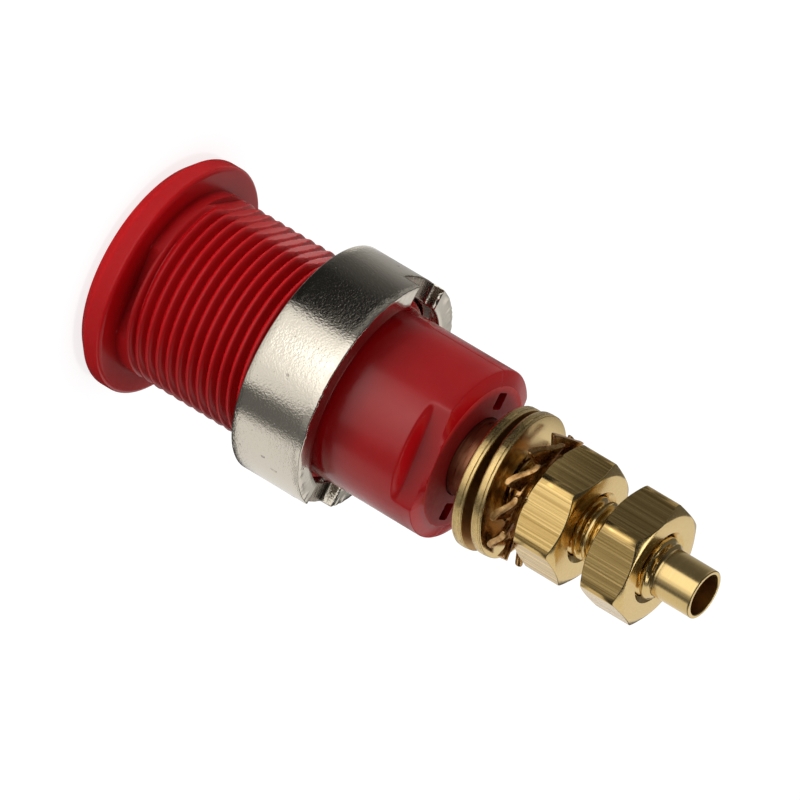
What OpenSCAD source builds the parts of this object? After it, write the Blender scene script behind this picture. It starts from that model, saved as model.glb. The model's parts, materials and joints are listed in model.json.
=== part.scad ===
// Panel socket for 4 mm plugs: a moulded housing with a fine thread, a round slotted nut, a turned contact
// with an M4 stud and a solder cup, two washers, a serrated lock washer and two hexagon nuts.
// It stands on the front face of its flange, with the solder cup on top.

/* [Flange] */
// Diameter of the flange
flange_d = 15; // [14:0.1:18]
// Thickness of the flange
flange_t = 2; // [1.5:0.1:3]
// Height and width of the sloped front edge
flange_bevel = 0.85; // [0.3:0.05:1.1]
// Broken edge at the rear of the flange
flange_edge = 0.35; // [0.1:0.05:0.4]

/* [Threaded barrel] */
// Outer diameter of the barrel thread
thread_d = 12; // [11.8:0.1:13]
// Pitch of the barrel thread
thread_pitch = 0.75; // [0.5:0.05:1]
// Depth of the barrel thread
thread_depth = 0.42; // [0.2:0.02:0.45]
// Length of the threaded stretch
thread_l = 13.2; // [9:0.1:16]
// Length of the smooth neck between flange and thread
neck_l = 0.8; // [0.5:0.1:2]
// Width across the two moulded flats of the neck
neck_flats = 10.8; // [10.4:0.1:11.5]
// Round foot that stays between the flange and those flats
neck_foot = 0.1; // [0.05:0.05:0.25]
// Width across the thread where the halves of the mould meet
parting_flats = 11.3; // [11:0.05:11.7]

/* [Rear section] */
// Diameter of the smooth rear section
rear_d = 11; // [10:0.1:11]
// Length of the smooth rear section
rear_l = 7.7; // [5:0.1:12]
// Height of the shallow slope round the rear face
rear_edge = 0.3; // [0.1:0.05:0.6]
// Width of that slope
rear_edge_w = 0.95; // [0.2:0.05:1.2]
// Width across the wrench flats
wrench_flats = 8.9; // [8.8:0.1:9.8]
// Length of the wrench flats
wrench_l = 1.4; // [1:0.1:3]
// Length of the slope that leads to each wrench flat
wrench_slope = 0.4; // [0.1:0.05:0.8]
// Length of the two pockets in the rear face, measured away from the axis
pocket_l = 1.2; // [0.6:0.1:1.4]
// Width of the two pockets
pocket_w = 1.1; // [0.4:0.05:1.3]
// Depth of the two pockets
pocket_depth = 0.7; // [0.3:0.1:1.5]
// Distance from the axis to the middle of a pocket
pocket_reach = 3.6; // [3.5:0.05:4]
// Angle of the pockets from the line where the halves of the mould meet
pocket_angle = -8; // [-20:1:20]

/* [Plug cavity] */
// Diameter of the cavity that takes a shrouded plug
cavity_d = 8.2; // [7.6:0.1:8.6]
// Thickness of the wall behind the cavity
end_wall = 3.7; // [3:0.1:5]
// Lead-in at the mouth of the cavity
mouth_edge = 0.45; // [0.1:0.05:0.8]

/* [Round nut] */
// How far the round nut stays inside the edge of the flange
ring_inset = 0.1; // [0:0.05:0.5]
// Length of the round nut
ring_l = 4.9; // [3:0.1:6]
// Panel space between the flange and the round nut
panel_space = 9.6; // [5:0.1:10]
// Width of the slot across the rear of the round nut
slot_w = 3.5; // [1.5:0.1:4]
// Depth of the slot
slot_depth = 0.75; // [0.4:0.05:2]
// Angle at which the slot stands
slot_angle = 169; // [0:1:180]
// Broken edges of the round nut
ring_edge = 0.2; // [0.1:0.05:0.4]
// Radial play of the round nut on the barrel
ring_play = 0.12; // [0.05:0.01:0.15]
// Distance by which the loose round nut sits off the axis
ring_shift = 0.09; // [0:0.01:0.1]
// Direction in which it sits off the axis
ring_shift_angle = 160; // [-180:1:180]

/* [Contact] */
// Bore for the plug pin
plug_d = 4; // [3.9:0.05:4.2]
// Depth of the plug bore
plug_depth = 15; // [10:0.1:16]
// Outer diameter of the contact tube
tube_d = 6; // [5.4:0.1:6.4]
// How far the tube lies behind the front face
tube_recess = 4.6; // [4.5:0.1:6]
// Diameter of the collar that passes through the end wall
collar_d = 5; // [4.6:0.1:5.2]
// Length of the collar behind the housing
collar_l = 1.45; // [0.8:0.05:3]
// Diameter of the stud
stud_d = 3.9; // [3.7:0.05:4]
// Length of the stud
stud_l = 12.7; // [12:0.1:15]
// Outer diameter of the solder cup
cup_d = 3.1; // [2.6:0.05:3.2]
// Length of the solder cup behind the stud
cup_l = 2.6; // [1.5:0.1:4]
// Wall of the solder cup
cup_wall = 0.25; // [0.15:0.05:0.5]
// Depth of the hole in the solder cup
cup_hole_depth = 3; // [2:0.1:5]

/* [Washers] */
// Outer diameter of the plain washers
washer_d = 9; // [8:0.1:10]
// Thickness of the plain washers
washer_t = 0.75; // [0.5:0.05:0.9]
// Hole of the plain washers
washer_hole_d = 4.5; // [4.4:0.05:4.8]
// Direction in which the loose washers hang and lean
lean_angle = -20; // [-180:1:180]
// Distance by which the outer washer hangs off the axis
outer_drop = 0.05; // [0:0.01:0.1]
// Lean of the inner washer
inner_lean = 3; // [0:0.5:3]
// Lean of the outer washer
outer_lean = 5; // [0:0.5:5]
// Space between the collar and the inner washer
inner_space = 0.35; // [0.2:0.05:0.6]
// Space between the two washers
lug_space = 0.4; // [0.3:0.05:0.6]

/* [Lock washer] */
// Number of teeth
tooth_count = 11; // [8:1:12]
// Outer diameter over the teeth
lock_d = 8; // [7.5:0.1:8.4]
// Outer diameter of the plain ring inside the teeth
lock_ring_d = 6; // [5.4:0.1:6.4]
// Hole of the lock washer
lock_hole_d = 4.4; // [4.2:0.05:4.6]
// Sheet thickness
lock_t = 0.4; // [0.2:0.05:0.5]
// Width of a tooth at its outer end
tooth_w = 2.1; // [1.4:0.1:2.1]
// Rise of a tooth's outer end from one corner to the other
tooth_rise = 1; // [0.3:0.05:1.2]
// Angle of the first tooth
tooth_start = -88; // [-180:1:180]
// Space between the outer washer and the lock washer
lock_space = 0.5; // [0.5:0.05:0.9]
// Distance by which the lock washer hangs off the axis
lock_drop = 0.16; // [0:0.02:0.16]

/* [Hexagon nuts] */
// Width across flats
nut_flats = 7; // [6.5:0.1:7.5]
// Thickness of a nut
nut_t = 3; // [2.2:0.1:3.2]
// Angle of the clamp nut's first corner
clamp_nut_angle = -5; // [-30:1:30]
// Angle of the lock nut's first corner
lock_nut_angle = 2; // [-30:1:30]
// Space between the lock washer and the clamp nut
clamp_space = 0.04; // [0.02:0.01:0.3]
// Space between the two nuts
nut_space = 1.85; // [1.65:0.05:2]

/* [Fits] */
// Radial clearance of the contact in the end wall
contact_fit = 0.02; // [0.01:0.01:0.05]
// Radial clearance of a hexagon nut over the crests of the stud
thread_fit = 0.05; // [0.02:0.01:0.1]
// Least gap between the stud and the inner washer, which hangs on it
hang_fit = 0.03; // [0.02:0.01:0.1]

/* [Hidden] */
$fn = 96;

// A cut runs past the face that it opens by this much
over = 1;
// Every cut across the whole part is this wide
span = 2 * flange_d;
// Angle of a drill's point
drill_point = 118;
// Angle of the chamfered corners of a nut
corner_chamfer = 30;
// Broken edge of the washers, of the stud's end and of the tube's lead-in
fine_edge = 0.1;
stud_edge = 0.3;
tube_edge = 0.4;
// Number of steps along and across a tooth
tooth_cuts = 4;

// Radial and axial sizes of one thread ridge
thread_root_d = thread_d - 2 * thread_depth;
crest_w = thread_pitch / 4;
flank_w = thread_pitch * 5 / 16;
thread_turns = floor(thread_l / thread_pitch);

// Heights along the axis
thread_z = flange_t + neck_l;
thread_end_z = thread_z + thread_l;
housing_l = thread_end_z + rear_l;
cavity_depth = housing_l - end_wall;
collar_end_z = housing_l + collar_l;
stud_end_z = collar_end_z + stud_l;
cup_end_z = stud_end_z + cup_l;
cup_hole_d = cup_d - 2 * cup_wall;
ring_z = flange_t + panel_space;
ring_d = flange_d - 2 * ring_inset;
inner_washer_z = collar_end_z + inner_space + washer_t / 2;
outer_washer_z = inner_washer_z + washer_t + lug_space;
lock_height = tooth_rise + lock_t;
lock_washer_z = outer_washer_z + washer_t / 2 + lock_space + lock_height / 2;
clamp_nut_z = lock_washer_z + lock_height / 2 + clamp_space;
lock_nut_z = clamp_nut_z + nut_t + nut_space;

// Distance by which the inner washer hangs off the axis until its hole rests on the stud
inner_drop = (washer_hole_d * cos(inner_lean) - washer_t * sin(inner_lean) - stud_d) / 2 - hang_fit;

// Height of a drill's point for a hole of diameter d
function point_h(d) = d / 2 / tan(drill_point / 2);

// Outline of one thread ridge that starts at height z
function ridge(z) = [
    [thread_root_d / 2, z],
    [thread_d / 2, z + flank_w],
    [thread_d / 2, z + flank_w + crest_w],
    [thread_root_d / 2, z + 2 * flank_w + crest_w]
];

// Flat-ended hole with a drill's point, going up from the origin
module drilled(d, depth) {
    translate([0, 0, -over]) cylinder(d = d, h = depth + over);
    translate([0, 0, depth]) cylinder(d1 = d, d2 = 0, h = point_h(d));
}

// Lead-in cone at the mouth of a hole, going up from the origin
module lead_in(d, edge) {
    translate([0, 0, -over]) cylinder(d1 = d + 2 * (edge + over), d2 = d, h = edge + over);
}

// Everything beyond two planes that face along X, between two heights
module beyond_flats(across, from_z, to_z) {
    for (side = [0, 180])
        rotate([0, 0, side])
            translate([across / 2, -span / 2, from_z]) cube([span, span, to_z - from_z]);
}

// Outside of the moulding, with its thread ridges
module housing_blank() {
    rotate_extrude()
        polygon(concat(
            [
                [0, 0],
                [flange_d / 2 - flange_bevel, 0],
                [flange_d / 2, flange_bevel],
                [flange_d / 2, flange_t - flange_edge],
                [flange_d / 2 - flange_edge, flange_t],
                [thread_d / 2, flange_t],
                [thread_d / 2, thread_z - flank_w]
            ],
            [for (i = [0:thread_turns - 1]) each ridge(thread_z + i * thread_pitch)],
            [
                [rear_d / 2, thread_end_z],
                [rear_d / 2, housing_l - rear_edge],
                [rear_d / 2 - rear_edge_w, housing_l],
                [0, housing_l]
            ]
        ));
}

// The two wrench flats with their sloped shoulders
module wrench_cuts() {
    foot_z = housing_l - wrench_l;
    flat_depth = (rear_d - wrench_flats) / 2;
    for (side = [0, 180])
        rotate([0, 0, side])
            rotate([90, 0, -90])
                linear_extrude(span, center = true)
                    polygon([
                        [wrench_flats / 2, housing_l + over],
                        [wrench_flats / 2, foot_z],
                        [wrench_flats / 2 + 2 * flat_depth, foot_z - 2 * wrench_slope],
                        [wrench_flats / 2 + 2 * flat_depth, housing_l + over]
                    ]);
}

// The two small pockets in the rear face
module pockets() {
    for (side = [0, 180])
        rotate([0, 0, side + pocket_angle])
            translate([pocket_reach, 0, housing_l + (over - pocket_depth) / 2])
                cube([pocket_l, pocket_w, pocket_depth + over], center = true);
}

module housing() {
    color("firebrick")
        difference() {
            housing_blank();
            rotate([0, 0, 90]) beyond_flats(neck_flats, flange_t + neck_foot, thread_z - flank_w);
            beyond_flats(parting_flats, thread_z - flank_w, thread_end_z);
            wrench_cuts();
            pockets();
            translate([0, 0, -over]) cylinder(d = cavity_d, h = cavity_depth + over);
            lead_in(cavity_d, mouth_edge);
            cylinder(d = collar_d + 2 * contact_fit, h = housing_l + over);
        }
}

module ring_nut() {
    bore_d = thread_d + 2 * ring_play;
    color("silver")
        translate([ring_shift * cos(ring_shift_angle), ring_shift * sin(ring_shift_angle), ring_z])
            difference() {
                rotate_extrude()
                    polygon([
                        [bore_d / 2 + ring_edge, 0],
                        [ring_d / 2 - ring_edge, 0],
                        [ring_d / 2, ring_edge],
                        [ring_d / 2, ring_l - ring_edge],
                        [ring_d / 2 - ring_edge, ring_l],
                        [bore_d / 2 + ring_edge, ring_l],
                        [bore_d / 2, ring_l - ring_edge],
                        [bore_d / 2, ring_edge]
                    ]);
                rotate([0, 0, slot_angle])
                    translate([-span / 2, -slot_w / 2, ring_l - slot_depth])
                        cube([span, slot_w, slot_depth + over]);
            }
}

module contact() {
    color("goldenrod")
        difference() {
            rotate_extrude()
                polygon([
                    [0, tube_recess],
                    [tube_d / 2 - fine_edge, tube_recess],
                    [tube_d / 2, tube_recess + fine_edge],
                    [tube_d / 2, cavity_depth],
                    [collar_d / 2, cavity_depth],
                    [collar_d / 2, collar_end_z - fine_edge],
                    [collar_d / 2 - fine_edge, collar_end_z],
                    [stud_d / 2, collar_end_z],
                    [stud_d / 2, stud_end_z - stud_edge],
                    [stud_d / 2 - stud_edge, stud_end_z],
                    [cup_d / 2, stud_end_z],
                    [cup_d / 2, cup_end_z],
                    [0, cup_end_z]
                ]);
            translate([0, 0, tube_recess]) {
                drilled(plug_d, plug_depth);
                lead_in(plug_d, tube_edge);
            }
            translate([0, 0, cup_end_z]) mirror([0, 0, 1]) drilled(cup_hole_d, cup_hole_depth);
        }
}

// Plain washer with broken edges, centred on the origin
module plain_washer() {
    rotate_extrude()
        polygon([
            [washer_hole_d / 2, -washer_t / 2],
            [washer_d / 2 - fine_edge, -washer_t / 2],
            [washer_d / 2, -washer_t / 2 + fine_edge],
            [washer_d / 2, washer_t / 2 - fine_edge],
            [washer_d / 2 - fine_edge, washer_t / 2],
            [washer_hole_d / 2, washer_t / 2]
        ]);
}

// Moves its children off the axis in the direction in which loose pieces hang
module hung(drop, z) {
    translate([drop * cos(lean_angle), drop * sin(lean_angle), z]) children();
}

// Plain washer that leans in that direction
module leaning_washer(lean) {
    rotate([0, 0, lean_angle]) rotate([0, -lean, 0]) plain_washer();
}

module inner_washer() {
    color("gold") hung(inner_drop, inner_washer_z) leaning_washer(inner_lean);
}

module outer_washer() {
    color("gold") hung(outer_drop, outer_washer_z) leaning_washer(outer_lean);
}

// Corner of a twisted tooth: along runs from root to outer end, across from -1 to 1, face is -1 or 1.
// The outer end is bent to an S, and its slope turns the sheet's thickness with it.
function tooth_corner(along, across, face) =
    let (
        root_r = (lock_hole_d + lock_ring_d) / 4,
        r = root_r + along * (lock_d / 2 - root_r),
        half_w = tooth_w / 2 * r / (lock_d / 2),
        half_rise = tooth_rise / 2 * along,
        slope = atan(half_rise / half_w * PI / 2 * cos(90 * across)),
        lift = face * lock_t / 2
    )
    [r, across * half_w + lift * sin(slope), lift * cos(slope) - half_rise * sin(90 * across)];

// Closed loop of corners round a tooth at one place along it
function tooth_loop(along) = [
    for (face = [-1, 1]) for (k = [0:tooth_cuts]) tooth_corner(along, face * (2 * k / tooth_cuts - 1), face)
];

// One twisted tooth, from inside the plain ring to its outer end
module lock_tooth() {
    loop_n = 2 * (tooth_cuts + 1);
    sides = [
        for (i = [0:tooth_cuts - 1]) for (k = [0:loop_n - 1])
            let (a = i * loop_n + k, b = i * loop_n + (k + 1) % loop_n)
            each [[a, b, a + loop_n], [b, b + loop_n, a + loop_n]]
    ];
    root_cap = [
        for (k = [0:tooth_cuts - 1])
            let (k2 = loop_n - 1 - k)
            each [[k, k2, k + 1], [k + 1, k2, k2 - 1]]
    ];
    outer_cap = [for (f = root_cap) [for (k = [2, 1, 0]) f[k] + tooth_cuts * loop_n]];
    polyhedron(
        points = [for (i = [0:tooth_cuts]) each tooth_loop(i / tooth_cuts)],
        faces = concat(sides, root_cap, outer_cap)
    );
}

module lock_washer() {
    color("sienna")
        hung(lock_drop, lock_washer_z) {
            difference() {
                cylinder(d = lock_ring_d, h = lock_t, center = true);
                cylinder(d = lock_hole_d, h = lock_t + over, center = true);
            }
            for (i = [0:tooth_count - 1])
                rotate([0, 0, tooth_start + i * 360 / tooth_count]) lock_tooth();
        }
}

// Hexagon nut with chamfered corners and countersunk hole, standing on the origin
module hex_nut() {
    corner_d = nut_flats / cos(30);
    face_d = nut_flats - 2 * fine_edge;
    chamfer_h = (corner_d - face_d) / 2 * tan(corner_chamfer);
    bore_d = stud_d + 2 * thread_fit;
    difference() {
        intersection() {
            cylinder(d = corner_d, h = nut_t, $fn = 6);
            rotate_extrude()
                polygon([
                    [0, 0],
                    [face_d / 2, 0],
                    [corner_d / 2, chamfer_h],
                    [corner_d / 2, nut_t - chamfer_h],
                    [face_d / 2, nut_t],
                    [0, nut_t]
                ]);
        }
        translate([0, 0, -over]) cylinder(d = bore_d, h = nut_t + 2 * over);
        lead_in(bore_d, stud_edge);
        translate([0, 0, nut_t]) mirror([0, 0, 1]) lead_in(bore_d, stud_edge);
    }
}

module clamp_nut() {
    color("gold") translate([0, 0, clamp_nut_z]) rotate([0, 0, clamp_nut_angle]) hex_nut();
}

module lock_nut() {
    color("gold") translate([0, 0, lock_nut_z]) rotate([0, 0, lock_nut_angle]) hex_nut();
}

housing();
ring_nut();
contact();
inner_washer();
outer_washer();
lock_washer();
clamp_nut();
lock_nut();
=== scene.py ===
"""Looks of a panel socket for 4 mm plugs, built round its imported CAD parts. Sizes are in millimetres."""

import json
import math

import bmesh
import bpy
import numpy as np
from mathutils import Matrix, Vector

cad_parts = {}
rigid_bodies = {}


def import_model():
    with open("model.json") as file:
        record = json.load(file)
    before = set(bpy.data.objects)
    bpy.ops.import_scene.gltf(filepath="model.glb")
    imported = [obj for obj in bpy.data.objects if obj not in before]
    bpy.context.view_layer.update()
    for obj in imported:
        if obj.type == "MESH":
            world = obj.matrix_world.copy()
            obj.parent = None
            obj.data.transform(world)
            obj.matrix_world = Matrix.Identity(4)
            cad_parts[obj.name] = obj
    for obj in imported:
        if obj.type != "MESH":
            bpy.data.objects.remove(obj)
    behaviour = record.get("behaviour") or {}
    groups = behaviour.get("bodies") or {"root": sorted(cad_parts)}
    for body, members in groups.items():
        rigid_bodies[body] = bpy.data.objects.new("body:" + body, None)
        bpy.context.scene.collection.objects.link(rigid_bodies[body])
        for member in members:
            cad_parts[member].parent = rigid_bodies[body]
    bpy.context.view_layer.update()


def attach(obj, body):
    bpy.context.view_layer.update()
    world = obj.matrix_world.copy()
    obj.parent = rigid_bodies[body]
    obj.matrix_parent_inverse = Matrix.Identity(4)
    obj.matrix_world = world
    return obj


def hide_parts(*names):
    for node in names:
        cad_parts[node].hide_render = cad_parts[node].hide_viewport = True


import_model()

MM = 0.001
TURN = 2 * math.pi
SHARP = math.radians(35)

# Flange, barrel and rear section of the moulding
FLANGE_R, FLANGE_T, FLANGE_BEVEL, FLANGE_EDGE = 7.5, 2.0, 0.85, 0.3
THREAD_R, THREAD_DEPTH, THREAD_PITCH = 6.0, 0.42, 0.75
THREAD_Z, THREAD_END, NECK_END = 2.57, 16.0, 2.75
NECK_FLAT = 5.25
PARTING_FLAT = 5.65
REAR_R, REAR_EDGE, REAR_EDGE_W, HOUSING_L = 5.5, 0.3, 0.95, 23.7
WRENCH_FLAT, WRENCH_Z, WRENCH_SLOPE = 4.45, 22.3, 0.4
POCKET_L, POCKET_W, POCKET_DEPTH, POCKET_REACH, POCKET_ANGLE = 1.2, 1.1, 0.7, 3.6, math.radians(-8)
CAVITY_R, CAVITY_DEPTH, MOUTH_EDGE = 4.1, 20.0, 0.45
END_BORE_R = 2.52

# Flash and groove that the mould's parting line left on the rear section
FLASH_Z, FLASH_END, FLASH_H, FLASH_W = 16.4, 18.3, 0.14, 0.2
SEAM_DEPTH, SEAM_W = 0.045, 0.035

# Round nut, which leans a little and hangs to one side on its thread
RING_R, RING_BORE_R, RING_Z, RING_L = 7.4, 6.12, 11.6, 4.9
RING_FRONT_EDGE, RING_REAR_EDGE, RING_BORE_EDGE = 0.1, 0.09, 0.08
RING_SHIFT, RING_SHIFT_ANGLE = 0.06, math.radians(160)
RING_LEAN, RING_LEAN_ANGLE = math.radians(2), math.radians(-110)
SLOT_W, SLOT_DEPTH, SLOT_TILT, SLOT_ANGLE = 3.5, 0.75, 0.5, math.radians(169)
RING_BURR, RING_THREAD_DEPTH = 0.02, 0.28

# Contact
TUBE_R, TUBE_RECESS, PLUG_R, PLUG_DEPTH, TUBE_EDGE = 3.0, 4.6, 2.0, 15.0, 0.4
COLLAR_R, COLLAR_END = 2.5, 25.15
STUD_R, STUD_END, STUD_PITCH, STUD_DEPTH = 1.95, 37.85, 0.7, 0.4
CUP_R, CUP_END, CUP_HOLE_R, CUP_HOLE_DEPTH = 1.55, 40.45, 1.3, 3.0
DRILL_POINT, POINT_R = math.radians(59), 0.02

# Washers, which hang and lean towards one side
LEAN_ANGLE = math.radians(-20)
WASHER_R, WASHER_HOLE_R, WASHER_T, WASHER_TEAR = 4.5, 2.25, 0.75, 0.006
INNER_Z, INNER_DROP, INNER_LEAN = 25.875, 0.247, math.radians(3)
OUTER_Z, OUTER_DROP, OUTER_LEAN = 27.025, 0.05, math.radians(5)

# Lock washer
LOCK_Z, LOCK_DROP, LOCK_R, LOCK_RING_R, LOCK_HOLE_R, LOCK_T = 28.6, 0.16, 4.0, 3.0, 2.2, 0.4
TOOTH_COUNT, TOOTH_W, TOOTH_RISE, TOOTH_START = 11, 2.1, 1.0, math.radians(-88)
TOOTH_TIP, TOOTH_TIP_THINS = 0.1, 0.22

# Hexagon nuts
NUT_FLAT, NUT_T, NUT_BORE_R, NUT_FACE_R = 3.5, 3.0, 2.0, 3.4
NUT_EDGE, NUT_SINK, NUT_CHAMFER, NUT_THREAD_DEPTH = 0.045, 0.3, math.radians(30), 0.22
CLAMP_NUT_Z, CLAMP_NUT_ANGLE = 29.34, math.radians(-5)
LOCK_NUT_Z, LOCK_NUT_ANGLE = 34.19, math.radians(2)

# The two tones that each finish blends
RED = (0.34, 0.0025, 0.0042), (0.38, 0.0035, 0.0055)
# Lighter, greyer red of the end face: painted light and a painted sheen
LIT_END_FACE_RED = (0.46, 0.014, 0.014), (0.54, 0.022, 0.02)
NICKEL, NICKEL_PIT = (0.72, 0.665, 0.575), (0.22, 0.20, 0.17)
MILLED_NICKEL = (0.24, 0.20, 0.16), (0.42, 0.37, 0.31)
GOLD = (0.74, 0.53, 0.22), (0.79, 0.59, 0.27)
DRAWN_GOLD = (0.45, 0.29, 0.09), (0.88, 0.63, 0.26)
PUNCHED_GOLD = (0.60, 0.42, 0.17), (0.75, 0.55, 0.25)
# Darker, reddish gold of the collar: painted shade and a painted reflection of the red end face
COLLAR_SHADE_GOLD = (0.30, 0.12, 0.06), (0.42, 0.19, 0.10)
# Darker, rougher gold inside the cup's hole and on the washers' facing sides: its dark tone is painted shade,
# its roughness the surface's own
DULL_SHADED_GOLD = (0.5, 0.3, 0.11), (0.58, 0.36, 0.14)
BRONZE = (0.38, 0.19, 0.06), (0.68, 0.42, 0.18)

# Tent of reflection cards round the socket
TENT_R, TENT_TOP, TENT_FLOOR_Z = 60.0, 110.0, 0.3

# Direction from which the light table gives most light
KEY_ANGLE = math.radians(-148)

# Glow that several cards of the tent share, as stops of (angle in degrees, level)
KEY_TABLE = [(-142, 0.015), (-136, 1.05), (-92, 1.05), (-86, 0.92), (-70, 0.92), (-64, 0.14), (-42, 0.14)]
KEY_WALL = [
    (-142, 0.11), (-136, 1.4), (-92, 1.4), (-86, 1.05), (-77, 1.05), (-71, 0.4), (-60, 0.3), (-52, 0.14),
    (-42, 0.14),
]
FAR_SIDE = [(-34, 0.84), (60, 0.84), (80, 0.5)]
DARK = [(0, 0.04)]


def unit(v):
    """Vector of the same direction and of length 1."""
    return v / np.linalg.norm(v)


def rounded(points, closed=False, steps=4):
    """Path through (x, y, radius) points, where a round of that radius replaces each corner."""
    path = []
    count = len(points)
    for i, (x, y, radius) in enumerate(points):
        here = np.array((x, y), float)
        if radius == 0 or (not closed and i in (0, count - 1)):
            path.append(here)
            continue
        to_last = unit(np.array(points[i - 1][:2]) - here)
        to_next = unit(np.array(points[(i + 1) % count][:2]) - here)
        half = math.acos(np.clip(to_last @ to_next, -1, 1)) / 2
        middle = here + unit(to_last + to_next) * radius / math.sin(half)
        start = here + to_last * radius / math.tan(half) - middle
        end = here + to_next * radius / math.tan(half) - middle
        arc = math.pi - 2 * half
        for k in range(steps + 1):
            share = k / steps
            spoke = start * math.sin((1 - share) * arc) + end * math.sin(share * arc)
            path.append(middle + spoke / math.sin(arc))
    return np.array(path)


def finer(path, step, closed=False):
    """The same path with points at most one step apart."""
    stops = np.vstack([path, path[:1]]) if closed else path
    parts = []
    for a, b in zip(stops[:-1], stops[1:]):
        cuts = max(1, math.ceil(np.linalg.norm(b - a) / step))
        shares = np.arange(cuts)[:, None] / cuts
        parts.append(a + shares * (b - a))
    if not closed:
        parts.append(stops[-1:])
    return np.vstack(parts)


def rectangle(length, width, radius):
    """Outline of a rectangle with rounded corners."""
    sides = ((-1, -1), (1, -1), (1, 1), (-1, 1))
    return rounded([(x * length / 2, y * width / 2, radius) for x, y in sides], closed=True)


def soft_min(a, b, blend):
    """Lesser of two values, with a rounded change from one to the other."""
    return np.minimum(a, b) - blend * np.log1p(np.exp(-np.abs(a - b) / blend))


def ramp(value, start, end):
    """Smooth step from 0 at start to 1 at end."""
    share = np.clip((value - start) / (end - start), 0, 1)
    return share * share * (3 - 2 * share)


def ring_of(radius, angles, z):
    """Ring of points; radius and z are numbers or one value for each angle."""
    radius = np.broadcast_to(radius, angles.shape)
    return np.stack([radius * np.cos(angles), radius * np.sin(angles), np.broadcast_to(z, angles.shape)], -1)


def groove(angles, z, pitch):
    """Height of a right-hand thread: 0 on the crest, 1 in the root."""
    phase = (z / pitch - angles / TURN) % 1
    return np.abs(2 * phase - 1)


def skin(rows, loop):
    """Points and faces of the skin through rings of points. A loop joins the last ring to the first."""
    rows = np.asarray(rows)
    count, around = rows.shape[:2]
    i = np.arange(count if loop else count - 1)[:, None]
    j = np.arange(around)[None, :]
    low, high = i * around, (i + 1) % count * around
    side = (j + 1) % around
    faces = np.stack([low + j, low + side, high + side, high + j], -1).reshape(-1, 4).tolist()
    if not loop:
        faces.append(list(range(around))[::-1])
        faces.append(list(range((count - 1) * around, count * around)))
    return rows.reshape(-1, 3), faces


def mesh_of(name, skins):
    """Mesh made of closed skins, with all its faces turned outwards."""
    points, faces = [], []
    for skin_points, skin_faces in skins:
        first = sum(len(p) for p in points)
        points.append(skin_points)
        faces += [[first + k for k in face] for face in skin_faces]
    mesh = bpy.data.meshes.new(name)
    mesh.from_pydata((np.vstack(points) * MM).tolist(), [], faces)
    work = bmesh.new()
    work.from_mesh(mesh)
    bmesh.ops.recalc_face_normals(work, faces=work.faces)
    work.to_mesh(mesh)
    work.free()
    return mesh


def smooth(mesh):
    """Shades a mesh smooth, apart from its sharp edges."""
    mesh.polygons.foreach_set("use_smooth", [True] * len(mesh.polygons))
    mesh.set_sharp_from_angle(angle=SHARP)


def piece(name, skins, body, material):
    """Object made of skins, which rides on a body and stands for the CAD node of its name."""
    mesh = mesh_of(name + "_look", skins)
    smooth(mesh)
    mesh.materials.append(material)
    obj = bpy.data.objects.new(name + "_look", mesh)
    bpy.context.scene.collection.objects.link(obj)
    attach(obj, body)
    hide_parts(name)
    return obj


def flatten(obj):
    """Lets the large faces set the shading, so that flats look flat up to their rounded edges."""
    crisp = obj.modifiers.new("flatten", "WEIGHTED_NORMAL")
    crisp.keep_sharp = True


def paint(obj, material, chosen):
    """Gives another material to the faces that chosen(middle in millimetres, normal) picks."""
    obj.data.materials.append(material)
    last = len(obj.data.materials) - 1
    for face in obj.data.polygons:
        if chosen(face.center / MM, face.normal):
            face.material_index = last


def placed(points, angle=0.0, lean=0.0, toward=0.0, drop=0.0, z=0.0):
    """Points turned about the axis, then leant and moved towards one direction and lifted."""
    turn = Matrix.Rotation(angle - toward, 3, "Z")
    tilt = Matrix.Rotation(toward, 3, "Z") @ Matrix.Rotation(-lean, 3, "Y")
    shift = np.array((drop * math.cos(toward), drop * math.sin(toward), z))
    return points @ np.array(tilt @ turn).T + shift


# Moulded housing


def housing_angles():
    """Angles round the housing, closer together where the flats begin and along the parting line."""
    gap = 0.008
    even = np.linspace(0, TURN, 180, endpoint=False)
    edges = [math.acos(WRENCH_FLAT / REAR_R), math.acos(NECK_FLAT / THREAD_R)]
    near = [
        side * math.pi / 2 + sign * edge + shift
        for side in (1, 3) for sign in (-1, 1) for edge in edges for shift in (-gap, 0, gap)
    ]
    seam = [side * math.pi + shift for side in (0, 1) for shift in (-2 * gap, -gap, gap, 2 * gap)]
    return np.unique(np.round(np.concatenate([even, np.array(near + seam) % TURN]), 6))


def flat_limit(angles, distance, facing_y):
    """Radius at which a pair of flats at that distance from the axis cuts each angle."""
    across = np.abs(np.sin(angles) if facing_y else np.cos(angles))
    return distance / np.maximum(across, 0.05)


def flange_rows(angles):
    """Cavity wall, mouth, front face, bevelled rim and rear of the flange."""
    outline = rounded([
        (CAVITY_R, CAVITY_DEPTH, 0),
        (CAVITY_R, MOUTH_EDGE, 0.15),
        (CAVITY_R + MOUTH_EDGE, 0, 0.15),
        (FLANGE_R - FLANGE_BEVEL, 0, 0.35),
        (FLANGE_R, FLANGE_BEVEL, 0.5),
        (FLANGE_R, FLANGE_T, FLANGE_EDGE),
        (THREAD_R, FLANGE_T, 0),
    ], steps=6)
    return [ring_of(r, angles, z) for r, z in outline]


def neck_rows(angles):
    """Root of the barrel between flange and thread, which two flats cut."""
    rows = []
    for z in (*np.linspace(FLANGE_T + 0.01, NECK_END - 0.01, 14), NECK_END, NECK_END + 0.02):
        depth = ramp(z, FLANGE_T, FLANGE_T + 0.06) if z < NECK_END else 0.0
        flat = NECK_FLAT + (THREAD_R - NECK_FLAT) * 1.2 * (1 - depth)
        radius = soft_min(THREAD_R, flat_limit(angles, flat, facing_y=True), 0.015)
        rows.append(ring_of(radius, angles, z))
    return rows


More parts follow.
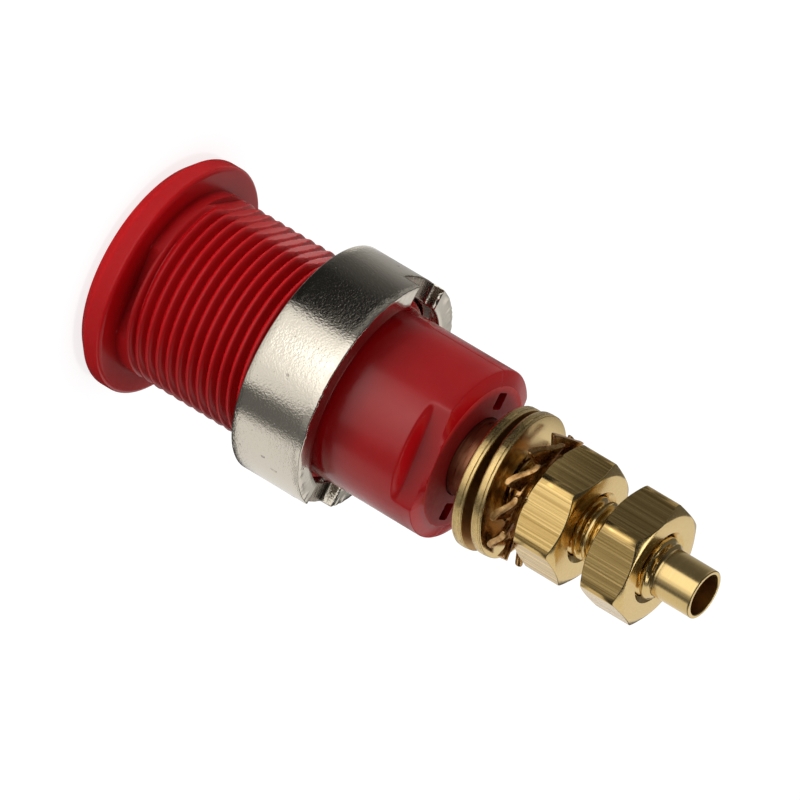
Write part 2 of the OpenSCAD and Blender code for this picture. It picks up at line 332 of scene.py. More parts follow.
def helix_share(angles):
    """Share of one turn at each angle, which runs back within a narrow strip at angle 0."""
    strip = math.radians(6)
    return np.interp(angles, (0, strip, TURN - strip, TURN), (0.5, strip / TURN, 1 - strip / TURN, 0.5))


def thread_rows(angles):
    """Rows along the crests, flanks and roots of the thread, held in order between its two ends."""
    flank = ((0.08, 0.84), (0.2, 0.46), (0.32, 0.15), (0.42, 0.02))
    profile = [(0, 1), *flank, (0.5, 0), *[(1 - phase, drop) for phase, drop in flank[::-1]]]
    start, end, row_gap = NECK_END + 0.04, THREAD_END - 0.35, 1e-4
    off_strip = np.minimum(angles, TURN - angles)
    on_barrel = ramp(off_strip, math.radians(8), math.radians(20))
    parting = flat_limit(angles, PARTING_FLAT, facing_y=False)
    rise = THREAD_PITCH * helix_share(angles)
    rows = []
    turns = math.ceil((end - start) / THREAD_PITCH) + 1
    stations = [(turn, phase, drop) for turn in range(-1, turns) for phase, drop in profile]
    for k, (turn, phase, drop) in enumerate(stations):
        z = THREAD_Z + (turn + phase) * THREAD_PITCH + rise
        z = np.clip(z, start + row_gap * k, end - row_gap * (len(stations) - k))
        depth = drop * ramp(z, start, start + 0.5) * on_barrel
        depth = np.maximum(depth, ramp(z, end - 0.4, end))
        radius = soft_min(THREAD_R - THREAD_DEPTH * depth, parting, 0.03)
        rows.append(ring_of(radius, angles, z))
    return rows


def rear_ring(angles, radius, z):
    """Ring of the rear section with the parting line's groove and flash and the wrench flats."""
    off_seam = np.abs((angles + math.pi / 2) % math.pi - math.pi / 2) * radius
    flash = FLASH_H * np.exp(-((off_seam / FLASH_W) ** 2))
    flash = flash * ramp(z, FLASH_Z, FLASH_Z + 0.4) * (1 - ramp(z, FLASH_END - 0.5, FLASH_END))
    full = radius + flash - SEAM_DEPTH * np.exp(-((off_seam / SEAM_W) ** 2))
    flat = soft_min(full, flat_limit(angles, WRENCH_FLAT, facing_y=True), 0.02)
    share = ramp(z, WRENCH_Z - WRENCH_SLOPE, WRENCH_Z + 0.1)
    return ring_of(full + share * (flat - full), angles, z)


def rear_rows(angles):
    """Rear section from the thread's end to the edge of the end face."""
    flash = (FLASH_Z + 0.2, FLASH_Z + 0.5, FLASH_END - 0.5, FLASH_END - 0.2, FLASH_END + 0.1)
    outline = rounded([
        (THREAD_R - THREAD_DEPTH, THREAD_END - 0.3, 0),
        (REAR_R, THREAD_END, 0.3),
        *[(REAR_R, z, 0) for z in flash],
        (REAR_R, WRENCH_Z - 0.7, 0),
        (REAR_R, HOUSING_L - REAR_EDGE, 0.1),
        (REAR_R - REAR_EDGE_W, HOUSING_L, 0.5),
        (REAR_R - 1.5 * REAR_EDGE_W, HOUSING_L, 0),
    ])
    below = [tuple(p) for p in outline if p[1] < WRENCH_Z]
    shoulder = [(REAR_R, z) for z in np.arange(WRENCH_Z - 0.65, WRENCH_Z + 0.3, 0.05)]
    above = [tuple(p) for p in outline if p[1] > WRENCH_Z]
    return [rear_ring(angles, r, z) for r, z in below + shoulder + above]


def end_rows(angles, rim):
    """End face from its rim inwards, and the bore through the end wall."""
    radii = [END_BORE_R + share * (rim - END_BORE_R) for share in (0.8, 0.5, 0.2, 0.03)]
    face = [ring_of(radius, angles, HOUSING_L) for radius in radii]
    bore = [ring_of(END_BORE_R, angles, z) for z in (HOUSING_L - 0.05, CAVITY_DEPTH)]
    return face + bore


def housing_rows():
    """Rows over the whole moulding, from the bottom of the cavity round to the end wall's bore."""
    angles = housing_angles()
    rows = flange_rows(angles) + neck_rows(angles) + thread_rows(angles) + rear_rows(angles)
    rim = np.hypot(rows[-1][:, 0], rows[-1][:, 1])
    return rows + end_rows(angles, rim)


def pocket_cutter():
    """Two blocks with rounded corners, which cut the pockets into the rear face."""
    outline = rectangle(POCKET_L, POCKET_W, 0.2)
    rows = [
        np.column_stack([outline * size + (POCKET_REACH, 0), np.full(len(outline), z)])
        for size, z in ((0.85, HOUSING_L - POCKET_DEPTH), (1, HOUSING_L + 1))
    ]
    points, faces = skin(rows, False)
    return [(placed(points, angle=POCKET_ANGLE + side), faces) for side in (0, math.pi)]


def cut(obj, skins):
    """Cuts closed skins out of an object for good."""
    cutter = bpy.data.objects.new("cutter", mesh_of("cutter", skins))
    bpy.context.scene.collection.objects.link(cutter)
    boolean = obj.modifiers.new("pockets", "BOOLEAN")
    boolean.operation = "DIFFERENCE"
    boolean.solver = "EXACT"
    boolean.object = cutter
    bpy.context.view_layer.update()
    shape = obj.evaluated_get(bpy.context.evaluated_depsgraph_get())
    result = bpy.data.meshes.new_from_object(shape)
    obj.modifiers.clear()
    obj.data = result
    bpy.data.objects.remove(cutter)
    smooth(obj.data)


# Round nut


def slot_columns():
    """Distances from the slot's middle line at which columns run, on one side of the axis."""
    half = SLOT_W / 2
    wall = half + np.array((-0.12, -0.05, -0.02, 0.0, 0.012, 0.03, 0.06, 0.12))
    floor = np.linspace(-half + 0.25, half - 0.25, 9)
    return np.concatenate([-wall[::-1], floor, wall])


def ring_column_angles(radius):
    """Angle of each column at one radius: along the slot's walls, and even between them."""
    near = np.arcsin(slot_columns() / radius)
    between = np.linspace(near[-1], math.pi - near[-1], 90)[1:-1]
    return np.concatenate([near, between, near + math.pi, between + math.pi])


def slot_depth(across):
    """Depth of the slot at a distance from its middle line, from one wall to the other."""
    return SLOT_DEPTH + SLOT_TILT * np.clip(across / SLOT_W + 0.5, 0, 1)


def ring_top(columns):
    """Height of the rear face at each column: the slot's floor, its walls or the full face."""
    across, half = RING_R * np.sin(columns), SLOT_W / 2
    return RING_L - slot_depth(across) * (1 - ramp(np.abs(across), half - 0.03, half + 0.04))


def ring_bore_rows(top):
    """Threaded bore of the round nut, from its rear edge to its front edge."""
    angles = ring_column_angles(RING_BORE_R)
    rows = []
    for share in np.linspace(0.98, 0.02, 70):
        z = RING_BORE_EDGE + share * (top - 2 * RING_BORE_EDGE)
        ends = ramp(share, 0, 0.08) * ramp(1 - share, 0, 0.08)
        depth = RING_THREAD_DEPTH * (1 - groove(angles, z, THREAD_PITCH)) * ends
        rows.append(ring_of(RING_BORE_R + depth, angles, z))
    return rows


def ring_rows():
    """Rows over the round nut: front, outside, burr on the rear edge, slotted rear face and bore."""
    columns = ring_column_angles(RING_R)
    top = ring_top(columns)
    burr = RING_BURR * np.random.default_rng(4).standard_normal(len(columns))
    bends = [(1 - math.sin(a), 1 - math.cos(a)) for a in np.linspace(0, math.pi / 2, 5)]
    outline = [(RING_BORE_R + RING_BORE_EDGE * r, RING_BORE_EDGE * z) for r, z in bends[::-1]]
    outline += [(RING_R - RING_FRONT_EDGE * r, RING_FRONT_EDGE * z) for r, z in bends]
    side = top - RING_FRONT_EDGE - RING_REAR_EDGE
    outline += [(RING_R, RING_FRONT_EDGE + share * side) for share in np.linspace(0.1, 0.9, 9)]
    outline += [
        (RING_R - RING_REAR_EDGE * r + 0.3 * burr * (1 - z), top - RING_REAR_EDGE * z + burr * (1 - z))
        for r, z in bends[::-1]
    ]
    outline += [(RING_BORE_R + share * (RING_R - RING_BORE_R), top) for share in (0.75, 0.5, 0.25)]
    outline += [(RING_BORE_R + RING_BORE_EDGE * r, top - RING_BORE_EDGE * z) for r, z in bends]
    rows = [ring_of(r, ring_column_angles(np.max(r)), z) for r, z in outline]
    return rows + ring_bore_rows(top)


def in_slot(middle, normal):
    """Whether a face of the leaning round nut is the slot's floor or one of its walls."""
    across = middle.y * math.cos(SLOT_ANGLE) - middle.x * math.sin(SLOT_ANGLE)
    toward = middle.x * math.cos(RING_LEAN_ANGLE) + middle.y * math.sin(RING_LEAN_ANGLE)
    height = middle.z - RING_Z - toward * math.tan(RING_LEAN)
    return height > RING_L - slot_depth(across) - 0.05 and abs(across) < SLOT_W / 2 + 0.03


# Contact


def tube_rows(angles):
    """Plug bore from its drilled point to the mouth, the tube outside it and the collar."""
    plug_end = TUBE_RECESS + PLUG_DEPTH
    outline = rounded([
        (POINT_R, plug_end + (PLUG_R - POINT_R) / math.tan(DRILL_POINT), 0),
        (PLUG_R, plug_end, 0),
        (PLUG_R, TUBE_RECESS + TUBE_EDGE, 0.1),
        (PLUG_R + TUBE_EDGE, TUBE_RECESS, 0.1),
        (TUBE_R, TUBE_RECESS, 0.12),
        (TUBE_R, CAVITY_DEPTH, 0),
        (COLLAR_R, CAVITY_DEPTH, 0),
        (COLLAR_R, COLLAR_END, 0.12),
        (STUD_R - STUD_DEPTH, COLLAR_END, 0),
    ])
    return [ring_of(r, angles, z) for r, z in outline]


def stud_rows(angles):
    """Threaded stud, whose thread fades in at the collar and tapers at its end."""
    rows = []
    for z in np.arange(COLLAR_END + 0.04, STUD_END - 0.02, STUD_PITCH / 14):
        fade = ramp(z, COLLAR_END, COLLAR_END + 0.9)
        crest = ramp(1.25 * (1 - groove(angles, z, STUD_PITCH)), 0.05, 0.95)
        full = STUD_R - STUD_DEPTH * (1 - crest)
        thread = full * fade + (1 - fade) * (STUD_R - STUD_DEPTH)
        lead = STUD_R - np.maximum(0, z - (STUD_END - 0.45))
        rows.append(ring_of(soft_min(thread, lead, 0.02), angles, z))
    return rows


def cup_rows(angles):
    """Solder cup from the stud's end to its rim, and its drilled hole down to the point."""
    cup_floor = CUP_END - CUP_HOLE_DEPTH
    outline = rounded([
        (CUP_R, STUD_END, 0),
        (CUP_R, STUD_END + 0.08, 0),
        (CUP_R, CUP_END - 0.15, 0),
        (CUP_R, CUP_END, 0.07),
        (CUP_HOLE_R, CUP_END, 0.07),
        (CUP_HOLE_R, cup_floor, 0),
        (POINT_R, cup_floor - (CUP_HOLE_R - POINT_R) / math.tan(DRILL_POINT), 0),
    ])
    return [ring_of(r, angles, z) for r, z in outline]


def contact_rows():
    """Rows over the turned contact, from the bottom of the plug bore to the bottom of the cup."""
    angles = np.linspace(0, TURN, 96, endpoint=False)
    return tube_rows(angles) + stud_rows(angles) + cup_rows(angles)


def in_cup(middle, normal):
    """Whether a face of the contact is inside the cup's hole."""
    return middle.z > STUD_END - 2 and middle.xy.length < CUP_HOLE_R + 0.01


# Washers


def washer_rows():
    """Punched washer: rounded where the punch came in, with a fine torn line round the rim."""
    angles = np.linspace(0, TURN, 160, endpoint=False)
    rng = np.random.default_rng(7)
    half = WASHER_T / 2
    outline = rounded([
        (WASHER_HOLE_R, -half, 0.12),
        (WASHER_R, -half, 0.22),
        (WASHER_R, half * 0.35, 0),
        (WASHER_R - 0.03, half * 0.42, 0),
        (WASHER_R - 0.015, half * 0.5, 0),
        (WASHER_R - 0.02, half, 0.06),
        (WASHER_HOLE_R, half, 0.06),
    ], closed=True)
    rows = []
    for r, z in outline:
        torn = r > WASHER_R - 0.05 and abs(z) < half * 0.55
        rough = WASHER_TEAR * rng.standard_normal(len(angles)) if torn else 0.0
        rows.append(ring_of(r + rough, angles, z))
    return rows


# Lock washer


def tooth_rows():
    """Twisted tooth along +X: its outer end is bent to an S, and its slope turns the sheet with it."""
    root_r = (LOCK_HOLE_R + LOCK_RING_R) / 2
    outline = finer(rectangle(TOOTH_W, LOCK_T, 0.18), 0.12, closed=True)
    across = outline[:, 0] / (TOOTH_W / 2)
    tip = [
        (1 - TOOTH_TIP * (1 - math.sin(a)) / (LOCK_R - root_r), 1 - TOOTH_TIP_THINS * (1 - math.cos(a)))
        for a in np.linspace(0.3, 1.5, 4)
    ]
    rows = []
    for along, slim in [(a, 1.0) for a in np.linspace(0, 0.9, 10)] + tip:
        r = root_r + along * (LOCK_R - root_r)
        half_w = TOOTH_W / 2 * r / LOCK_R * (1 - 0.6 * (1 - slim))
        half_rise = TOOTH_RISE / 2 * along
        slope = np.arctan(half_rise / half_w * math.pi / 2 * np.cos(math.pi / 2 * across))
        lift = outline[:, 1] * slim
        y = across * half_w + lift * np.sin(slope)
        z = lift * np.cos(slope) - half_rise * np.sin(math.pi / 2 * across)
        rows.append(np.stack([np.full(len(y), r), y, z], -1))
    return rows


def lock_washer_skins():
    """Flat ring and its twisted teeth, each a closed skin."""
    angles = np.linspace(0, TURN, 120, endpoint=False)
    half = LOCK_T / 2
    outline = rounded([
        (LOCK_HOLE_R, -half, 0.06),
        (LOCK_RING_R, -half, 0.08),
        (LOCK_RING_R, half, 0.08),
        (LOCK_HOLE_R, half, 0.06),
    ], closed=True)
    skins = [skin([ring_of(r, angles, z) for r, z in outline], True)]
    tooth_points, tooth_faces = skin(tooth_rows(), False)
    for k in range(TOOTH_COUNT):
        skins.append((placed(tooth_points, angle=TOOTH_START + k * TURN / TOOTH_COUNT), tooth_faces))
    return [(placed(p, toward=LEAN_ANGLE, drop=LOCK_DROP, z=LOCK_Z), f) for p, f in skins]


# Hexagon nuts


def nut_rows():
    """Hexagon nut with its first corner on +X: chamfered corners, countersunk hole and inner thread."""
    corner_r = NUT_FLAT / math.cos(math.pi / 6)
    corners = [(corner_r * math.cos(k * TURN / 6), corner_r * math.sin(k * TURN / 6), 0.5) for k in range(6)]
    outline = finer(rounded(corners, closed=True, steps=5), 0.22, closed=True)
    reach = np.hypot(outline[:, 0], outline[:, 1])
    angles = np.arctan2(outline[:, 1], outline[:, 0]) % TURN
    slope = math.tan(NUT_CHAMFER)

    def cone(radius):
        """Depth of the chamfer below the face at a radius."""
        return np.maximum(0, radius - NUT_FACE_R) * slope

    sink_r = NUT_BORE_R + NUT_SINK
    edge_r = reach - NUT_EDGE
    half_way = NUT_FACE_R + 0.5 * (edge_r - NUT_FACE_R)
    upper = [
        (sink_r, 0.0),
        (sink_r + 0.04, 0.0),
        (NUT_FACE_R - 0.08, 0.0),
        (NUT_FACE_R + 0.02, 0.02),
        (half_way, cone(half_way)),
        (edge_r, cone(edge_r)),
        (reach - 0.3 * NUT_EDGE, cone(reach) + 0.1 * NUT_EDGE),
        (reach, cone(reach) + 0.8 * NUT_EDGE),
    ]
    rows = [ring_of(r, angles, NUT_T - depth) for r, depth in upper]
    rows += [ring_of(r, angles, depth) for r, depth in upper[::-1]]
    for share in np.linspace(0, 1, 50):
        z = NUT_SINK + share * (NUT_T - 2 * NUT_SINK)
        ends = ramp(share, 0, 0.1) * ramp(1 - share, 0, 0.1)
        depth = NUT_THREAD_DEPTH * (1 - groove(angles, z, STUD_PITCH)) * ends
        rows.append(ring_of(NUT_BORE_R + depth, angles, z))
    return rows


# Materials


def new_material(name):
    """New material with its node tree and its shader."""
    made = bpy.data.materials.new(name)
    made.use_nodes = True
    return made, made.node_tree, made.node_tree.nodes["Principled BSDF"]


def add(tree, kind, inputs=None, **settings):
    """Shader node with its settings and inputs; an input is a value or another node's output."""
    made = tree.nodes.new(kind)
    for name, value in settings.items():
        setattr(made, name, value)
    for name, value in (inputs or {}).items():
        if isinstance(value, bpy.types.NodeSocket):
            tree.links.new(value, made.inputs[name])
        else:
            made.inputs[name].default_value = value
    return made


def in_millimetres(tree, stretch=(1, 1, 1)):
    """Object coordinates in millimetres, stretched along each axis."""
    place = add(tree, "ShaderNodeTexCoord").outputs["Object"]
    scale = [s / MM for s in stretch]
    return add(tree, "ShaderNodeMapping", {"Vector": place, "Scale": scale}).outputs["Vector"]


def noise_of(tree, place, scale, detail=3.0, roughness=0.5):
    """Cloudy noise from 0 to 1."""
    inputs = {"Vector": place, "Scale": scale, "Detail": detail, "Roughness": roughness}
    return add(tree, "ShaderNodeTexNoise", inputs).outputs["Fac"]


def spread(tree, value, low, high, to_low, to_high):
    """Value moved from one range to another and held at its ends."""
    inputs = {"Value": value, "From Min": low, "From Max": high, "To Min": to_low, "To Max": to_high}
    return add(tree, "ShaderNodeMapRange", inputs).outputs["Result"]


def math_of(tree, operation, first, second):
    """Result of one operation on two values."""
    return add(tree, "ShaderNodeMath", {0: first, 1: second}, operation=operation).outputs[0]


def spots_of(tree, place, scale, size):
    """1 inside small round spots of uneven size, 0 between them."""
    cells = add(tree, "ShaderNodeTexVoronoi", {"Vector": place, "Scale": scale, "Randomness": 1.0})
    uneven = noise_of(tree, place, scale * 2.5, 2)
    near = math_of(tree, "ADD", cells.outputs["Distance"], uneven)
    return spread(tree, near, size + 0.28, size + 0.4, 1, 0)


def blend(tree, share, first, second):
    """Mix of two colours."""
    inputs = {"Fac": share, "Color1": (*first, 1), "Color2": (*second, 1)}
    return add(tree, "ShaderNodeMixRGB", inputs).outputs["Color"]


def bump(tree, height, depth, under=None):
    """Bump of that depth in millimetres, on top of another one where there is one."""
    inputs = {"Height": height, "Distance": depth * MM, "Strength": 1.0}
    if under is not None:
        inputs["Normal"] = under
    return add(tree, "ShaderNodeBump", inputs).outputs["Normal"]


def finish_with(tree, shader, colour, roughness, normal):
    """Gives a shader its colour, roughness and normal."""
    for name, output in (("Base Color", colour), ("Roughness", roughness), ("Normal", normal)):
        tree.links.new(output, shader.inputs[name])


def red_plastic(name, tones, roughness, gloss):
    """Red moulding, a little uneven in tone and polish."""
    made, tree, shader = new_material(name)
    place = in_millimetres(tree)
    tone = spread(tree, noise_of(tree, place, 0.6, 4), 0.3, 0.7, 0, 1)
    patches = spread(tree, noise_of(tree, place, 3, 4), 0.3, 0.7, roughness * 0.9, roughness * 1.15)
    grain = bump(tree, noise_of(tree, place, 9, 2), 0.0012)
    waves = bump(tree, noise_of(tree, place, 0.8, 2), 0.008, grain)
    finish_with(tree, shader, blend(tree, tone, *tones), patches, waves)
    shader.inputs["IOR"].default_value = 1.48
    shader.inputs["Specular IOR Level"].default_value = gloss
    return made


def nickel(name, grain):
    """Nickel plate with a grain of that depth, scuffs, a few dark pits and raised specks."""
    made, tree, shader = new_material(name)
    place = in_millimetres(tree)
    scuffs = in_millimetres(tree, (1.0, 2.2, 2.2))
    pits = spots_of(tree, place, 0.75, 0.12)
    specks = spots_of(tree, place, 2.6, 0.08)
    patches = spread(tree, noise_of(tree, place, 4, 3), 0.3, 0.7, 0.09, 0.15)
    rough = bump(tree, noise_of(tree, place, 8, 2), grain)
    scratched = bump(tree, noise_of(tree, scuffs, 1.6, 2), 0.5 * grain, rough)
    dented = bump(tree, pits, -0.02, scratched)
    raised = bump(tree, specks, grain, dented)
    finish_with(tree, shader, blend(tree, pits, NICKEL, NICKEL_PIT), patches, raised)
    shader.inputs["Metallic"].default_value = 1
    return made


def milled_nickel():
    """Thin plate over the marks that the slot's cutter left along the slot."""
    made, tree, shader = new_material("milled_nickel")
    turned = add(tree, "ShaderNodeMapping", {
        "Vector": in_millimetres(tree), "Rotation": (0, 0, -SLOT_ANGLE), "Scale": (0.5, 7, 7),
    }).outputs["Vector"]
    marks = noise_of(tree, turned, 1.0, 4, 0.65)
    tone = spread(tree, marks, 0.35, 0.65, 0, 1)
    polish = spread(tree, marks, 0.3, 0.7, 0.2, 0.34)
    finish_with(tree, shader, blend(tree, tone, *MILLED_NICKEL), polish, bump(tree, marks, 0.012))
    shader.inputs["Metallic"].default_value = 1
    return made


def gold(name, tones, stretch, depth, roughness):
    """Gold plate over tool marks that run along the axis with the least stretch."""
    made, tree, shader = new_material(name)
    marks = noise_of(tree, in_millimetres(tree, stretch), 1.0, 4, 0.65)
    tone = spread(tree, marks, 0.35, 0.65, 0, 1)
    polish = spread(tree, marks, 0.3, 0.7, roughness * 0.8, roughness * 1.3)
    finish_with(tree, shader, blend(tree, tone, *tones), polish, bump(tree, marks, depth))
    shader.inputs["Metallic"].default_value = 1
    return made


def bronze():
    """Spring bronze, uneven in tone and polish."""
    made, tree, shader = new_material("bronze")
    place = in_millimetres(tree)
    tone = spread(tree, noise_of(tree, place, 2.5, 4), 0.35, 0.65, 0, 1)
    polish = spread(tree, noise_of(tree, place, 6, 3), 0.3, 0.7, 0.22, 0.4)
    grain = bump(tree, noise_of(tree, place, 8, 3), 0.004)
    finish_with(tree, shader, blend(tree, tone, *BRONZE), polish, grain)
    shader.inputs["Metallic"].default_value = 1
    return made


# Studio


def studio_object(name, points, faces, material):
    """Object of the studio, which isn't a piece of the socket."""
    mesh = bpy.data.meshes.new(name)
    mesh.from_pydata(points, [], faces)
    mesh.materials.append(material)
    made = bpy.data.objects.new(name, mesh)
    bpy.context.scene.collection.objects.link(made)
    return made


def lying_cards():
    """Radius and glow of the cards that lie round the flange."""
    far_dark = [(-34, 0.06), (55, 0.06), (75, 0.85), (130, 0.75), (150, 0.15), (178, 0.02)]
    near = [(-160, 0.3), (-130, 0.15), (-60, 0.08), (-34, 0.01), (70, 0.01), (90, 0.12), (150, 0.3)]
    inner = [(angle, 0.55 * glow) for angle, glow in KEY_TABLE] + far_dark
    table = [*KEY_TABLE, *FAR_SIDE, (120, 0.35), (150, 0.1), (178, 0.02)]
    outer = [
        (-160, 0.03), (-146, 0.2), (-130, 1.3), (-113, 3.0), (-97, 1.9), (-76, 0.6), (-60, 0.2), (-45, 0.18),
        (-30, 0.38), (55, 0.38), (75, 0.2), (130, 0.18), (160, 0.06),
    ]
    return [
        (FLANGE_R + 0.2, DARK), (15, near), (17, inner), (26, inner), (30, table), (47, table), (51, outer),
        (58, outer),
    ]


def wall_cards():
    """Height and glow of the cards of the tent's wall, from its foot upwards."""
    foot = [(-145, 0.3), *KEY_WALL[1:], *FAR_SIDE, (120, 0.5), (150, 0.4), (178, 0.35)]
    wall = [*KEY_WALL, *FAR_SIDE, (120, 0.35), (150, 0.13), (178, 0.11)]
    upper = [*KEY_WALL, (-34, 0.05), (62, 0.08), (80, 0.55), (150, 0.5), (178, 0.11)]
    above = [(-160, 0.06), (-30, 0.06), (62, 0.1), (80, 0.55), (150, 0.5)]
    high = [(-160, 0.06), (-30, 0.06), (0, 0.84), (79, 0.84), (86, 0.15), (150, 0.1)]
    return [
        (TENT_FLOOR_Z, foot), (3, foot), (5, wall), (18, wall), (22, upper), (28, upper), (36, above),
        (40, high), (TENT_TOP, high),
    ]


def roof_cards():
    """Radius and glow of the dark roof and of the lamp in it."""
    lamp = [(10, 0.04), (30, 2.5), (110, 2.5), (130, 0.04)]
    return [(TENT_R - 8, DARK), (42, DARK), (38, lamp), (22, lamp), (18, DARK), (1, DARK)]


def tent_rings():
    """Radius, height and glow of each ring of the tent, from the flange outwards, up and in."""
    rings = [(FLANGE_R - FLANGE_BEVEL, 0.005, DARK)]
    rings += [(radius, TENT_FLOOR_Z, glow) for radius, glow in lying_cards()]
    rings += [(TENT_R, z, glow) for z, glow in wall_cards()]
    rings += [(radius, TENT_TOP, glow) for radius, glow in roof_cards()]
    return rings


def reflection_tent():
    """Tent of pale and dark cards round the socket, which only reflections see."""
    sides = 144
    angles = np.linspace(0, TURN, sides, endpoint=False)
    rows, glows = [], []
    for radius, z, stops in tent_rings():
        stop_angles, stop_glows = zip(*stops)
        rows.append(ring_of(radius, angles, z))
        glows.append(np.interp(np.degrees(angles), stop_angles, stop_glows, period=360))
    points, faces = skin(rows, True)
    faces = faces[:sides * (len(rows) - 1)]
    tent = studio_object("reflection_tent", (points * MM).tolist(), faces, tent_glow())
    layer = tent.data.attributes.new("glow", "FLOAT", "POINT")
    layer.data.foreach_set("value", np.concatenate(glows))
    for kind in ("camera", "diffuse", "transmission", "volume_scatter", "shadow"):
        setattr(tent, "visible_" + kind, False)


def tent_glow():
    """Glow of the tent, which counts little in light that bounces on to other things."""
    made = bpy.data.materials.new("reflection_tent")
    made.use_nodes = True
    made.cycles.emission_sampling = "NONE"
    tree = made.node_tree
    tree.nodes.clear()
    level = add(tree, "ShaderNodeAttribute", attribute_name="glow").outputs["Fac"]
    path = add(tree, "ShaderNodeLightPath")
    share = spread(tree, path.outputs["Diffuse Depth"], 0, 1, 1, 0.1)
    strength = math_of(tree, "MULTIPLY", level, share)
    glow = add(tree, "ShaderNodeEmission", {"Color": (1, 0.985, 0.955, 1), "Strength": strength})
    add(tree, "ShaderNodeOutputMaterial", {"Surface": glow.outputs[0]})
    return made


def studio_floor(seen_glow, dim, bright, shade):
    """White light table: even for the camera, and brighter on the key side for the light that it gives."""
    made, tree, shader = new_material("studio_floor")
    made.cycles.emission_sampling = "NONE"
    shader.inputs["Base Color"].default_value = (shade, shade, shade, 1)
    shader.inputs["Roughness"].default_value = 1.0
    shader.inputs["Specular IOR Level"].default_value = 0.0
    shader.inputs["Emission Color"].default_value = (1, 1, 1, 1)
    place = in_millimetres(tree)
    key = (math.cos(KEY_ANGLE), math.sin(KEY_ANGLE), 0)
    ray = add(tree, "ShaderNodeVectorMath", {0: place}, operation="NORMALIZE").outputs["Vector"]
    toward = add(tree, "ShaderNodeVectorMath", {0: ray, 1: key}, operation="DOT_PRODUCT").outputs["Value"]
    far = add(tree, "ShaderNodeVectorMath", {0: place}, operation="LENGTH").outputs["Value"]
    by_side = spread(tree, toward, -0.8, 0.8, dim, bright)
    by_distance = spread(tree, far, 15, 60, 2.2, 0.08)
    under_socket = spread(tree, far, 8, 24, 0.42, 1)
    level = math_of(tree, "MULTIPLY", math_of(tree, "MULTIPLY", by_side, by_distance), under_socket)
    path = add(tree, "ShaderNodeLightPath")
    strength = spread(tree, path.outputs["Is Diffuse Ray"], 0, 1, seen_glow, level)
    tree.links.new(strength, shader.inputs["Emission Strength"])
    half, below = 0.8, -0.01 * MM
    corners = [(-half, -half, below), (half, -half, below), (half, half, below), (-half, half, below)]
    studio_object("floor", corners, [(0, 1, 2, 3)], made)


def studio_world(light):
    """White surround for the picture and for reflections, and a dimmer one for the light it gives."""
    world = bpy.data.worlds.new("studio")
    bpy.context.scene.world = world
    world.use_nodes = True
    world.cycles.sampling_method = "NONE"
    tree = world.node_tree
    path = add(tree, "ShaderNodeLightPath")
    seen = path.outputs["Is Camera Ray"]
    for kind in ("Is Glossy Ray", "Is Transmission Ray"):
        seen = math_of(tree, "MAXIMUM", seen, path.outputs[kind])
    background = tree.nodes["Background"]
    background.inputs["Color"].default_value = (1, 1, 1, 1)
    tree.links.new(spread(tree, seen, 0, 1, light, 1.0), background.inputs["Strength"])


def overhead_light(power):
    """Round soft light straight above the socket, which reflections don't show."""
    light = bpy.data.lights.new("overhead", "AREA")
    light.shape = "DISK"
    light.size = 0.15
    light.energy = power
    lamp = bpy.data.objects.new("overhead", light)
    lamp.location = (0, 0, 0.37)
    lamp.visible_glossy = False
    bpy.context.scene.collection.objects.link(lamp)


def photo_camera():
    """Camera of the photo, rolled so that the socket's axis runs down to the right."""
    azimuth, elevation, roll = math.radians(-20), math.radians(23.8), math.radians(30.85)
    distance, picture_w, sensor = 623.1, 46.25, 36.0
    target = Vector((0, 0, 17.91))
    offset_right, offset_up = 0.344, 0.543
    axis = Vector((0, 0, 1))
    side = Vector((-math.cos(azimuth), -math.sin(azimuth), 0))
    near = Vector((math.sin(azimuth), -math.cos(azimuth), 0))
    back = math.cos(elevation) * near + math.sin(elevation) * axis
    tip = math.cos(elevation) * axis - math.sin(elevation) * near
    right = math.sin(roll) * side + math.cos(roll) * tip
    up = math.cos(roll) * side - math.sin(roll) * tip
    data = bpy.data.cameras.new("camera")
    data.sensor_width = sensor
    data.lens = sensor * distance / picture_w
    data.clip_start, data.clip_end = 0.05, 3.0
    camera = bpy.data.objects.new("camera", data)
    turn = Matrix((right, up, back)).transposed().to_4x4()
    centre = target + right * offset_right + up * offset_up + back * distance
    camera.matrix_world = Matrix.Translation(centre * MM) @ turn
    bpy.context.scene.collection.objects.link(camera)
    bpy.context.scene.camera = camera


# Assembly

moulded_red = red_plastic("moulded_red", RED, roughness=0.23, gloss=0.5)
thread_red = red_plastic("thread_red", RED, roughness=0.23, gloss=0.27)
lit_end_face_red = red_plastic("lit_end_face_red", LIT_END_FACE_RED, roughness=0.52, gloss=0.5)
plated = nickel("nickel", grain=0.011)
faced_nickel = nickel("nickel_faced", grain=0.001)
milled = milled_nickel()
drawn_gold = gold("gold_drawn", DRAWN_GOLD, stretch=(6, 6, 0.03), depth=0.014, roughness=0.15)
turned_gold = gold("gold_turned", GOLD, stretch=(0.6, 0.6, 18), depth=0.0012, roughness=0.16)
faced_gold = gold("gold_faced", GOLD, stretch=(5, 5, 5), depth=0.0012, roughness=0.2)
punched_gold = gold("gold_punched", PUNCHED_GOLD, stretch=(3, 3, 6), depth=0.009, roughness=0.26)
collar_shade_gold = gold("gold_collar_shade", COLLAR_SHADE_GOLD, stretch=(0.6, 0.6, 9), depth=0.002, roughness=0.3)
dull_shaded_gold = gold("gold_dull_shaded", DULL_SHADED_GOLD, stretch=(5, 5, 5), depth=0.002, roughness=0.4)
copper = bronze()

housing = piece("housing", [skin(housing_rows(), True)], "socket", moulded_red)
cut(housing, pocket_cutter())
paint(housing, thread_red, lambda middle, normal: middle.z < THREAD_END)
# The end face gets the lighter, greyer red: painted light and a painted sheen
paint(housing, lit_end_face_red, lambda middle, normal: normal.z > 0.98 and middle.z > HOUSING_L - 0.01)

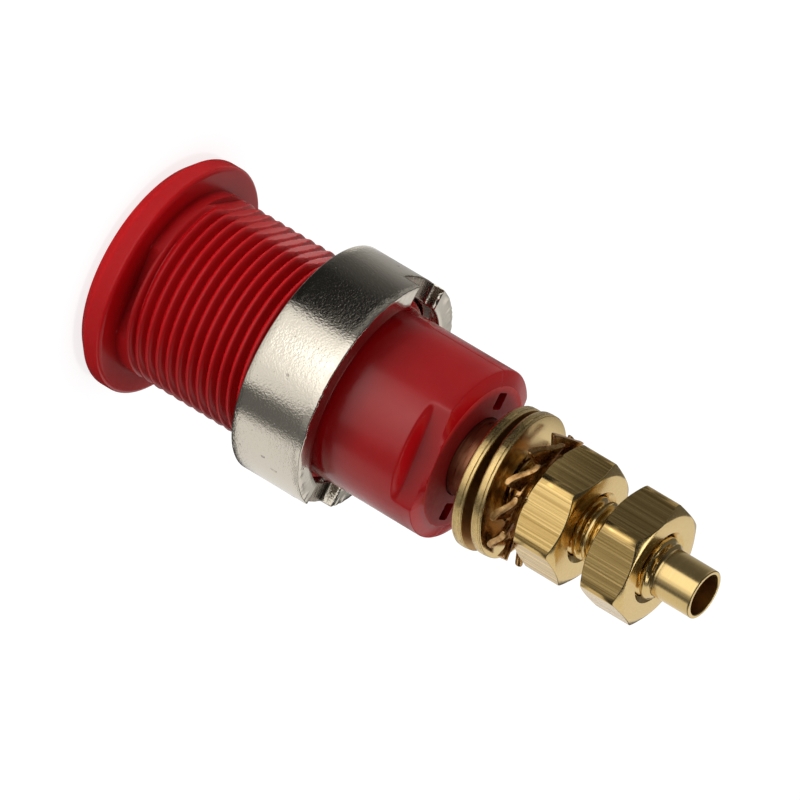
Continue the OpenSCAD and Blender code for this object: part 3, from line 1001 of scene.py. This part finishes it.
ring_points, ring_faces = skin(ring_rows(), True)
ring_middle = ring_points - (0, 0, RING_L / 2)
leant = placed(ring_middle, angle=SLOT_ANGLE, lean=RING_LEAN, toward=RING_LEAN_ANGLE)
ring_points = placed(leant, toward=RING_SHIFT_ANGLE, drop=RING_SHIFT, z=RING_Z + RING_L / 2)
ring_nut = piece("ring_nut", [(ring_points, ring_faces)], "ring_nut", plated)
paint(ring_nut, faced_nickel, lambda middle, normal: abs(normal.z) > 0.9)
paint(ring_nut, milled, in_slot)

contact = piece("contact", [skin(contact_rows(), False)], "socket", turned_gold)
# The collar gets the darker, reddish gold: painted shade and a painted reflection of the red end face
paint(contact, collar_shade_gold, lambda middle, normal: CAVITY_DEPTH < middle.z < COLLAR_END)
# Inside the cup's hole: painted shade
paint(contact, dull_shaded_gold, in_cup)

washer_points, washer_faces = skin(washer_rows(), True)
for name, lean, drop, z, hidden in (
    ("inner_washer", INNER_LEAN, INNER_DROP, INNER_Z, 1),
    ("outer_washer", OUTER_LEAN, OUTER_DROP, OUTER_Z, -1),
):
    points = placed(washer_points, lean=lean, toward=LEAN_ANGLE, drop=drop, z=z)
    washer = piece(name, [(points, washer_faces)], "socket", faced_gold)
    paint(washer, punched_gold, lambda middle, normal: abs(normal.z) < 0.8)
    # The washers' faces that face each other across the gap get painted shade
    paint(washer, dull_shaded_gold, lambda middle, normal: normal.z * hidden > 0.9)

piece("lock_washer", lock_washer_skins(), "socket", copper)

nut_points, nut_faces = skin(nut_rows(), True)
for name, angle, z in (("clamp_nut", CLAMP_NUT_ANGLE, CLAMP_NUT_Z), ("lock_nut", LOCK_NUT_ANGLE, LOCK_NUT_Z)):
    nut = piece(name, [(placed(nut_points, angle=angle, z=z), nut_faces)], name, faced_gold)
    paint(nut, drawn_gold, lambda middle, normal: abs(normal.z) < 0.3 and middle.xy.length > NUT_FACE_R)

studio_world(light=0.42)
studio_floor(seen_glow=0.8, dim=0.44, bright=1.74, shade=0.3)
overhead_light(power=0.7)
reflection_tent()
photo_camera()

for obj in bpy.data.objects:
    if obj.name.endswith("_look"):
        flatten(obj)

bpy.context.scene.view_settings.view_transform = "Standard"
